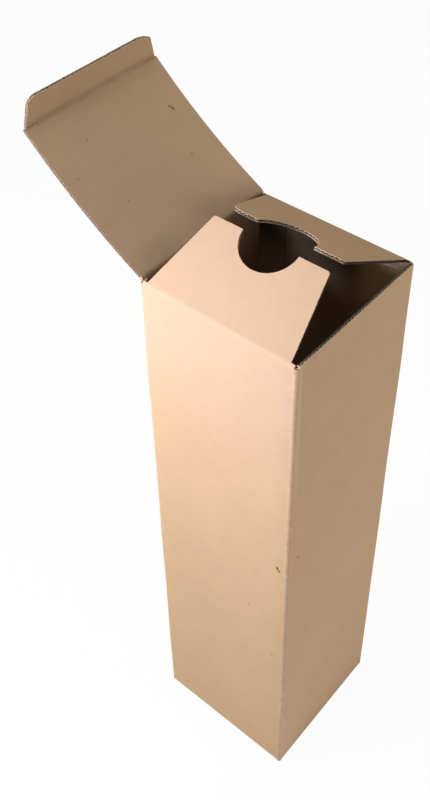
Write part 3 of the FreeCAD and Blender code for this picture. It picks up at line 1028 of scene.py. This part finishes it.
class BOX_OT_tuck(bpy.types.Operator):
    """Cuts and folds the tuck flap with the slits beside its crease"""
    bl_idname = "shipping_box.tuck"
    bl_label = "Tuck flap"

    def execute(self, context):
        height, half, slit, depth, root, tip, corner = sizes(
            "lid_sizes", "crease", "half", "slit", "tuck_depth", "tuck_root", "tuck_tip",
            "tuck_corner")
        mid = wall_mid()
        arc, lines = lid_lines()
        start = arc - TUCK_LEAD
        gap = 0.3
        edge = arc + depth - 0.1
        blank = block("tuck_blank", (-half, -2, start), (half, 2, arc - gap / 2))
        pick(blank, "FACE", lambda at, n: n.z > 0.9)
        shoulder((half - slit) / half)
        extrude((0, 0, gap))
        shoulder(root / (half - slit))
        extrude((0, 0, depth - gap / 2))
        widen((tip / root, 1, 1))
        pick(blank, "EDGE", lambda at, n: abs(n.y) > 0.9 and at.z > edge and at.x < 0)
        bpy.ops.mesh.bevel(offset=corner * MM, segments=8, affect="EDGES")
        for inset, drop in TUCK_WEAR:
            at = tip - inset
            crease(blank, (min(at, tip - 0.01), 0, 0), (1, 0, 0))
            pick(blank, "VERT", lambda c, n: abs(c.x - at) < 0.3 and c.z > edge)
            move((0, 0, -drop))
        settle(blank)
        up = [at for at, _ in lines if at > start] + spread(arc + 1, arc + depth, 2.5)
        tuck = board_from(blank, "tuck_board", "kraft_lid", spread(-half, half, 1.3),
                          up, 3, SIDE)
        fray(tuck, 0.4)
        fold(tuck, lines)
        stand(tuck, "back", mid, height)
        hand_over(tuck, between=("lid", "tuck"),
                  nodes=["tuck_flap"])
        return {"FINISHED"}


# The worn right corner of the tuck flap: how far in from its end, and how much is gone.
TUCK_WEAR = ((8.5, 0), (4, 0.9), (0, 2.8))


class BOX_OT_dust_flaps(bpy.types.Operator):
    """Cuts and folds the two dust flaps with their neck notches"""
    bl_idname = "shipping_box.dust_flaps"
    bl_label = "Dust flaps"

    def execute(self, context):
        for side, back in (("left", CUT_CORNER), ("right", WORN_CORNER)):
            self.cut(side, size("dust_flap_sizes", side + "_rise"), back)
        return {"FINISHED"}

    def peel(self, edge):
        """A torn strip of the lower liner, hanging beside the root of the right flap."""
        board, liner = sizes("board_sizes", "thickness", "liner")
        strip = block("strip", (-0.5, -board / 2 - liner, PEEL[0][0]),
                      (0.6, -board / 2, PEEL[-1][0]))
        rows(strip, 2, [at for at, _, _ in PEEL[1:-1]])
        for place, reach, drop in PEEL:
            pick(strip, "VERT", lambda at, n: abs(at.z - place) < 0.1)
            move((edge(place) + reach, -drop, 0))
        leave_edit()
        settle(strip)
        finishes(strip, "kraft_flaps")
        paint_faces(strip, RAW, lambda at, n: True)
        return strip

    def cut(self, side, rise, back):
        height, depth, ear, root, lead, notch = sizes(
            "dust_flap_sizes", "crease", "depth", "ear", "root", "lead", "notch")
        mid = wall_mid()
        flat = size("tube_sizes", "side") / 2 - size("board_sizes", "fold")
        foot = size("tube_sizes", "side_top") - height
        name = side + "_dust_board"
        toward_back = 1 if side == "left" else -1
        ear_top, taper = 0.8, 1.6
        blank = block(name + "_blank", (-flat, -2, foot), (flat, 2, ear_top))
        pick(blank, "FACE", lambda at, n: n.z > 0.9)
        shoulder(ear / flat)
        extrude((0, 0, taper - ear_top))
        widen((root / ear, 1, 1))
        extrude((0, 0, depth - taper))
        widen((lead / root, 1, 1))
        for end, radius in ((toward_back, back), (-toward_back, CUT_CORNER)):
            pick(blank, "EDGE", lambda at, n: abs(n.y) > 0.9 and at.z > depth - 0.1
                 and at.x * end > 0)
            bpy.ops.mesh.bevel(offset=radius * MM, segments=6, affect="EDGES")
        leave_edit()
        cut_with(blank, rod("notch", (0, 0, mid), notch, 10, 96), "DIFFERENCE")
        lines = fold_lines(0, 90 - rise)
        up = [at for at, _ in lines] + spread(taper, depth, 3)
        flap = board_from(blank, name, "kraft_flaps", spread(-flat, flat, 1.3), up, 8, SHADED_FLUTING)
        if side == "right":
            slope = (lead - root) / (depth - taper)
            flap = join(name, [flap, self.peel(lambda at: root + slope * (at - taper))])
        fray(flap, 0.4)
        fold(flap, lines)
        stand(flap, side, mid, height)
        out = -1 if side == "left" else 1
        axis = Vector((out * mid, 0, height))
        hand_over(flap, between=("box", side + "_dust"),
                  nodes=[side + "_dust_flap"])


# The torn strip: height on the flat flap, how far past its side, and how far it hangs down.
PEEL = ((5.5, 0.2, 1.2), (7, 0.4, 1.5), (8.5, 0.6, 1.6), (10, 0.6, 1.4), (11.5, 0.4, 1.0),
        (13, 0.2, 0.6), (15, 0, 0.2), (17, -0.2, 0))

# The lamps: name, place, what they face, width, power and tint.
LAMPS = (
    ("window", (-0.36, 0.17, 0.44), (-0.03, 0, 0.35), 0.12, 2.55, (0.98, 1.0, 1.37)),
    ("behind", (-0.5, 0.9, 0.7), (0, 0, 0.33), 0.5, 4.9, (0.95, 1.0, 0.58)),
    ("front", (0.3, -1.4, 0.45), (0, 0, 0.2), 0.85, 6.95, (1.0, 0.985, 0.97)),
    ("overhead", (0, 0.1, 1.5), (0, 0, 0.3), 1.0, 5.1, (0.98, 1.0, 1.0)),
    ("back", (0.3, 1.0, 1.2), (0, 0, 0.35), 0.8, 3.3, (1.2, 0.9, 0.78)),
    ("low", (0.25, -0.7, 0.10), (0, 0, 0.12), 0.4, 0.9, (1.0, 0.95, 0.9)),
)


# The camera at the photograph's viewing angle.
CAMERA = {"place": (-0.30066, -0.22474, 0.66033), "look": (0.56516, 0.49532, -0.65974),
          "roll": -1.394, "lens": 47.98, "shift": -0.125}


class BOX_OT_stage(bpy.types.Operator):
    """Sets up the floor, the lamps, the even light all round and the camera"""
    bl_idname = "shipping_box.stage"
    bl_label = "Stage"

    def execute(self, context):
        scene = context.scene
        looks = scene.box_looks
        clear_bench()
        bpy.ops.mesh.primitive_plane_add(size=8, location=(0, 0, 0))
        floor = context.object
        floor.name = floor.data.name = "floor"
        pick_all(floor)
        bpy.ops.mesh.subdivide(number_cuts=7)
        leave_edit()
        recipe = Recipe("floor")
        shade = recipe.add("ShaderNodeBsdfDiffuse", sockets={"Color": (0.82, 0.82, 0.82)})
        glow = recipe.add("ShaderNodeEmission", sockets={"Color": (1, 1, 1), "Strength": 1.0})
        seen = recipe.add("ShaderNodeLightPath")
        share = seen.most(Wire(recipe, seen.socket.node.outputs["Is Glossy Ray"])) * 0.95
        mixed = recipe.add("ShaderNodeMixShader", sockets={0: share, 1: shade, 2: glow})
        recipe.add("ShaderNodeOutputMaterial", sockets={"Surface": mixed})
        floor.data.materials.append(recipe.material)

        for name, place, target, wide, power, tint in LAMPS:
            lamp(scene, name, place, target, wide, power * looks.light, tint)

        world = bpy.data.worlds.new("room")
        world.use_nodes = True
        scene.world = world
        tree = world.node_tree
        tree.nodes.clear()
        path, room, white, mix, out = (tree.nodes.new("ShaderNode" + kind) for kind in (
            "LightPath", "Background", "Background", "MixShader", "OutputWorld"))
        for light, power in ((room, looks.room), (white, 1.0)):
            light.inputs[0].default_value = (1, 1, 1, 1)
            light.inputs[1].default_value = power
        for source, socket in ((path.outputs["Is Camera Ray"], mix.inputs[0]),
                               (room.outputs[0], mix.inputs[1]),
                               (white.outputs[0], mix.inputs[2]),
                               (mix.outputs[0], out.inputs[0])):
            tree.links.new(source, socket)

        camera = bpy.data.objects.new("camera", bpy.data.cameras.new("camera"))
        scene.collection.objects.link(camera)
        scene.camera = camera
        look = Vector(CAMERA["look"]).normalized()
        right = look.cross(Vector((0, 0, 1))).normalized()
        up = right.cross(look)
        roll = math.radians(CAMERA["roll"])
        right, up = (right * math.cos(roll) + up * math.sin(roll),
                     up * math.cos(roll) - right * math.sin(roll))
        turn = Matrix((right, up, -look)).transposed().to_4x4()
        camera.matrix_world = Matrix.Translation(CAMERA["place"]) @ turn
        camera.data.sensor_fit = "AUTO"
        camera.data.sensor_width = 36
        camera.data.lens = CAMERA["lens"]
        camera.data.shift_y = CAMERA["shift"]
        camera.data.clip_start = 0.01
        scene.view_settings.view_transform = "Standard"
        return {"FINISHED"}


def lamp(scene, name, place, target, wide, power, tint):
    """A square soft lamp that faces a target."""
    data = bpy.data.lights.new(name, "AREA")
    data.size = wide
    data.energy = power
    data.color = tint
    light = bpy.data.objects.new(name, data)
    scene.collection.objects.link(light)
    light.location = place
    light.rotation_mode = "QUATERNION"
    light.rotation_quaternion = (Vector(target) - Vector(place)).to_track_quat("-Z", "Y")


class BOX_PT_panel(bpy.types.Panel):
    """The steps of the box, in the order in which it is made"""
    bl_idname = "BOX_PT_panel"
    bl_label = "Bottle shipping box"
    bl_space_type = "VIEW_3D"
    bl_region_type = "UI"
    bl_category = "Box"

    def draw(self, context):
        for step in STEPS:
            self.layout.operator(step.bl_idname)
        for name, group in GROUPS.items():
            column = self.layout.column(align=True)
            for key in group.__annotations__:
                column.prop(getattr(context.scene, name), key)


STEPS = (BOX_OT_papers, BOX_OT_tube, BOX_OT_bottom, BOX_OT_lid, BOX_OT_tuck, BOX_OT_dust_flaps,
         BOX_OT_stage)


def register():
    """Registers the property groups, the steps and the panel."""
    for name, group in GROUPS.items():
        bpy.utils.register_class(group)
        setattr(bpy.types.Scene, name, bpy.props.PointerProperty(type=group))
    for step in STEPS:
        bpy.utils.register_class(step)
    bpy.utils.register_class(BOX_PT_panel)


def unregister():
    """Takes everything back out."""
    bpy.utils.unregister_class(BOX_PT_panel)
    for step in reversed(STEPS):
        bpy.utils.unregister_class(step)
    for name, group in GROUPS.items():
        delattr(bpy.types.Scene, name)
        bpy.utils.unregister_class(group)


def main():
    """Makes the box step by step."""
    register()
    bpy.ops.shipping_box.papers()
    bpy.ops.shipping_box.tube()
    bpy.ops.shipping_box.bottom()
    bpy.ops.shipping_box.lid()
    bpy.ops.shipping_box.tuck()
    bpy.ops.shipping_box.dust_flaps()
    bpy.ops.shipping_box.stage()


if __name__ == "__main__":
    main()
